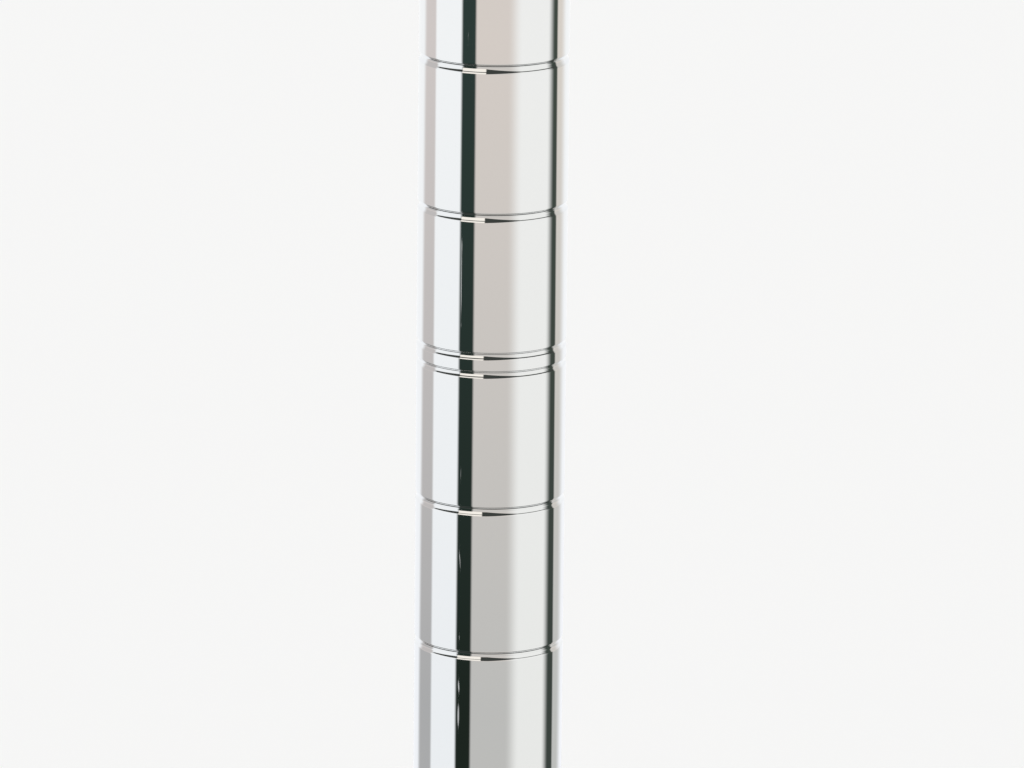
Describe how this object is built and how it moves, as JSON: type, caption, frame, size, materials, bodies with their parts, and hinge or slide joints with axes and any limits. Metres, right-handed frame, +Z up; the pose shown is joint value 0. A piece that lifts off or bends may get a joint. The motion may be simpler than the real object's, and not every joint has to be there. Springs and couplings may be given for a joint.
{
  "type": "shelving post",
  "caption": "Chrome-plated round shelving post with a rolled groove at every inch, paired grooves as a height mark, a push-in end cap and a screw-adjusted levelling foot.",
  "frame": {"origin": "centre of the glide's flat underside, with the levelling foot screwed fully in", "axes": "+Z up the post's axis, from the foot to the cap; X and Y are square to it"},
  "size_m": [0.0274, 0.0274, 0.3683],
  "materials": {
    "chrome_plate": "mirror-bright plating with faint drawing lines",
    "cap_plastic": "fine moulded grain",
    "insert_steel": "zinc plated, turned",
    "bolt_steel": "bright zinc plated",
    "glide_nylon": "satin nylon"
  },
  "bodies": {
    "post": {"post_tube": "chrome_plate", "top_cap": "cap_plastic", "foot_insert": "insert_steel"},
    "glide": {"glide_pad": "glide_nylon"},
    "leveller": {"levelling_bolt": "bolt_steel"}
  },
  "joints": [
    {"name": "foot_travel", "type": "slide", "parent": "post", "child": "glide", "axis": [0, 0, -1], "range_m": [0, 0.01905]},
    {"name": "foot_turn", "type": "hinge", "parent": "glide", "child": "leveller", "pos_m": [0, 0, 0.004], "axis": [0, 0, -1], "range_deg": [0, 4320]}
  ],
  "couplings": [
    {"joint": "foot_turn", "follows": "foot_travel", "rad_per_m": 3957.9}
  ]
}
